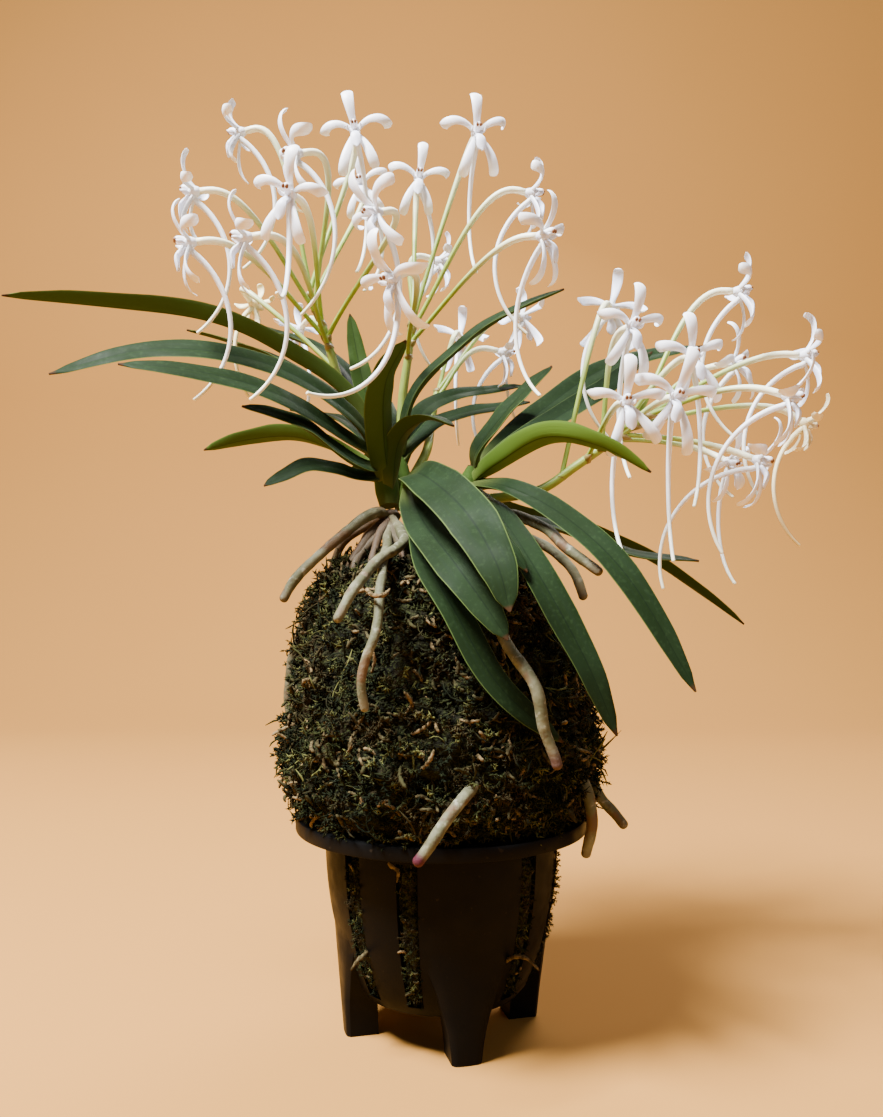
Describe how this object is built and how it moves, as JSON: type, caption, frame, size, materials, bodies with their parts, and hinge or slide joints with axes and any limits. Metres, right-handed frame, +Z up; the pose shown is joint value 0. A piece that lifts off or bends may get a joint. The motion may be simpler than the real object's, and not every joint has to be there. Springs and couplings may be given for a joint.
{
  "type": "wind orchid",
  "caption": "Potted wind orchid: arching strap leaves, sprays of white long-spurred flowers and aerial roots on a tall moss mound in a slotted footed pot.",
  "frame": {"origin": "centre of the whole plant's outline in plan, on the ground under the pot's feet", "axes": "+Z up; -Y towards the pictured front; +X to the right of that front"},
  "size_m": [0.2327, 0.1371, 0.2639],
  "materials": {
    "pot_plastic": "satin black moulded plastic",
    "moss": "rough, matted moss, dark olive with dry tan strands",
    "leaf": "thick waxy leaf with a satin sheen",
    "stalk": "smooth fleshy green stem",
    "petal": "soft satin white petal",
    "root": "matt grey-green root skin"
  },
  "bodies": {
    "root": {"aerial_root_front": "root", "aerial_root_left": "root", "aerial_root_right_inner": "root", "aerial_root_right_outer": "root", "bloom_back_01": "petal", "bloom_back_02": "petal", "bloom_back_03": "petal", "bloom_left_01": "petal", "bloom_left_02": "petal", "bloom_left_03": "petal", "bloom_left_04": "petal", "bloom_left_05": "petal", "bloom_left_06": "petal", "bloom_left_07": "petal", "bloom_left_08": "petal", "bloom_left_09": "petal", "bloom_left_10": "petal", "bloom_left_11": "petal", "bloom_middle_01": "petal", "bloom_middle_02": "petal", "bloom_middle_03": "petal", "bloom_middle_04": "petal", "bloom_middle_05": "petal", "bloom_middle_06": "petal", "bloom_right_01": "petal", "bloom_right_02": "petal", "bloom_right_03": "petal", "bloom_right_04": "petal", "bloom_right_05": "petal", "bloom_right_06": "petal", "bloom_right_07": "petal", "bloom_right_08": "petal", "bloom_right_09": "petal", "bloom_right_10": "petal", "bloom_right_11": "petal", "bloom_right_12": "petal", "flower_stalk_back": "stalk", "flower_stalk_left": "stalk", "flower_stalk_middle": "stalk", "flower_stalk_right": "stalk", "leafy_stem_front": "leaf", "leafy_stem_left": "leaf", "leafy_stem_middle": "leaf", "leafy_stem_right": "leaf", "moss_mound": "moss", "pot": "pot_plastic", "root_crown_left": "root", "root_crown_right": "root"}
  },
  "joints": []
}
